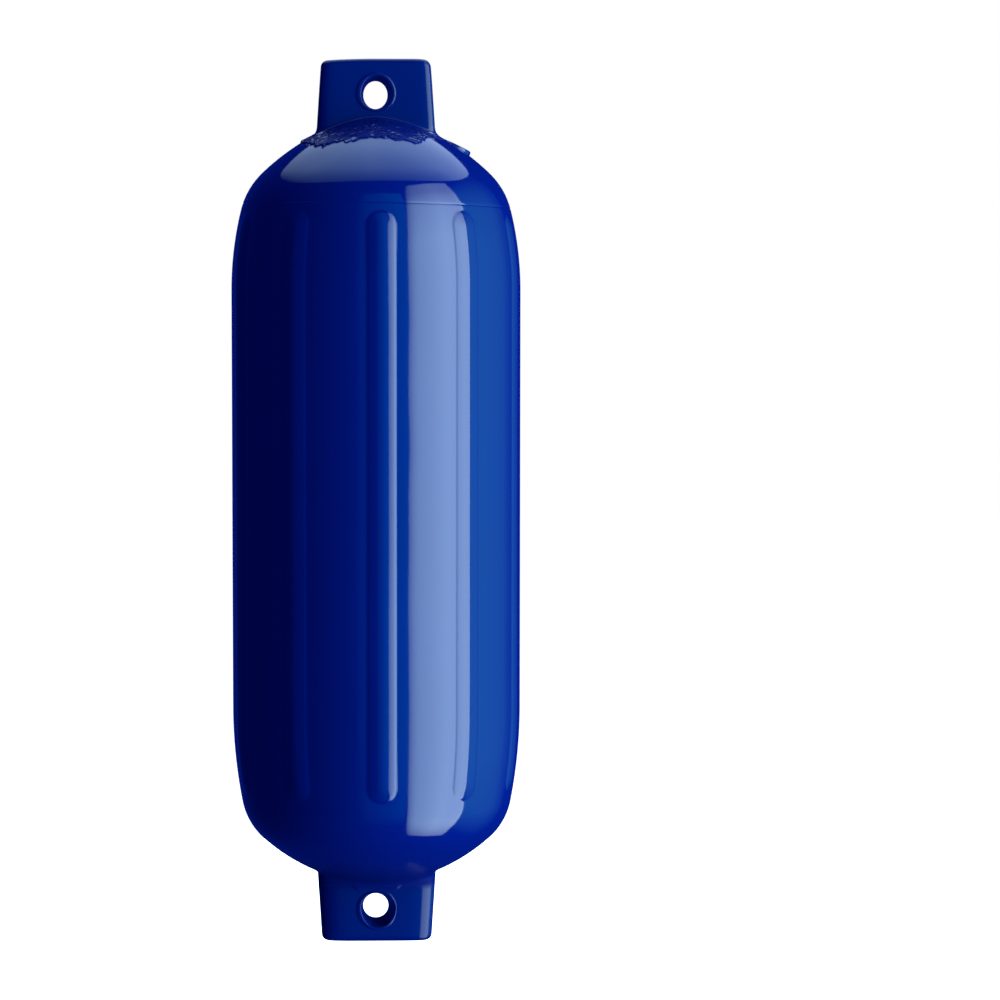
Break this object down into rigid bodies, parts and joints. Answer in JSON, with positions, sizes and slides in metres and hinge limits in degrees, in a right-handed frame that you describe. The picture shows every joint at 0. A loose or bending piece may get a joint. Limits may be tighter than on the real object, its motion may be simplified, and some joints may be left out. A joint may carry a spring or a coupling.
{
  "type": "boat fender",
  "caption": "Inflatable boat fender with raised lengthwise ribs, a solid lug with a rope eye at each end and a screw plug in the valve on its upper shoulder.",
  "frame": {"origin": "middle of the fender's whole length, on its axis", "axes": "+Z along the fender as it hangs, towards the end with the valve; -Y is the front, square to the lugs' flat faces; +X towards the valve's side"},
  "size_m": [0.2232, 0.2274, 0.6808],
  "materials": {
    "blue_vinyl": "gloss",
    "blue_plug_plastic": "satin"
  },
  "bodies": {
    "fender": {"fender_body": "blue_vinyl", "valve_seat": "blue_vinyl"},
    "plug": {"valve_plug": "blue_plug_plastic"}
  },
  "joints": [
    {"name": "valve_plug_slide", "type": "slide", "parent": "fender", "child": "plug", "axis": [0.4384, 0, 0.8988], "range_m": [0, 0.04]}
  ]
}
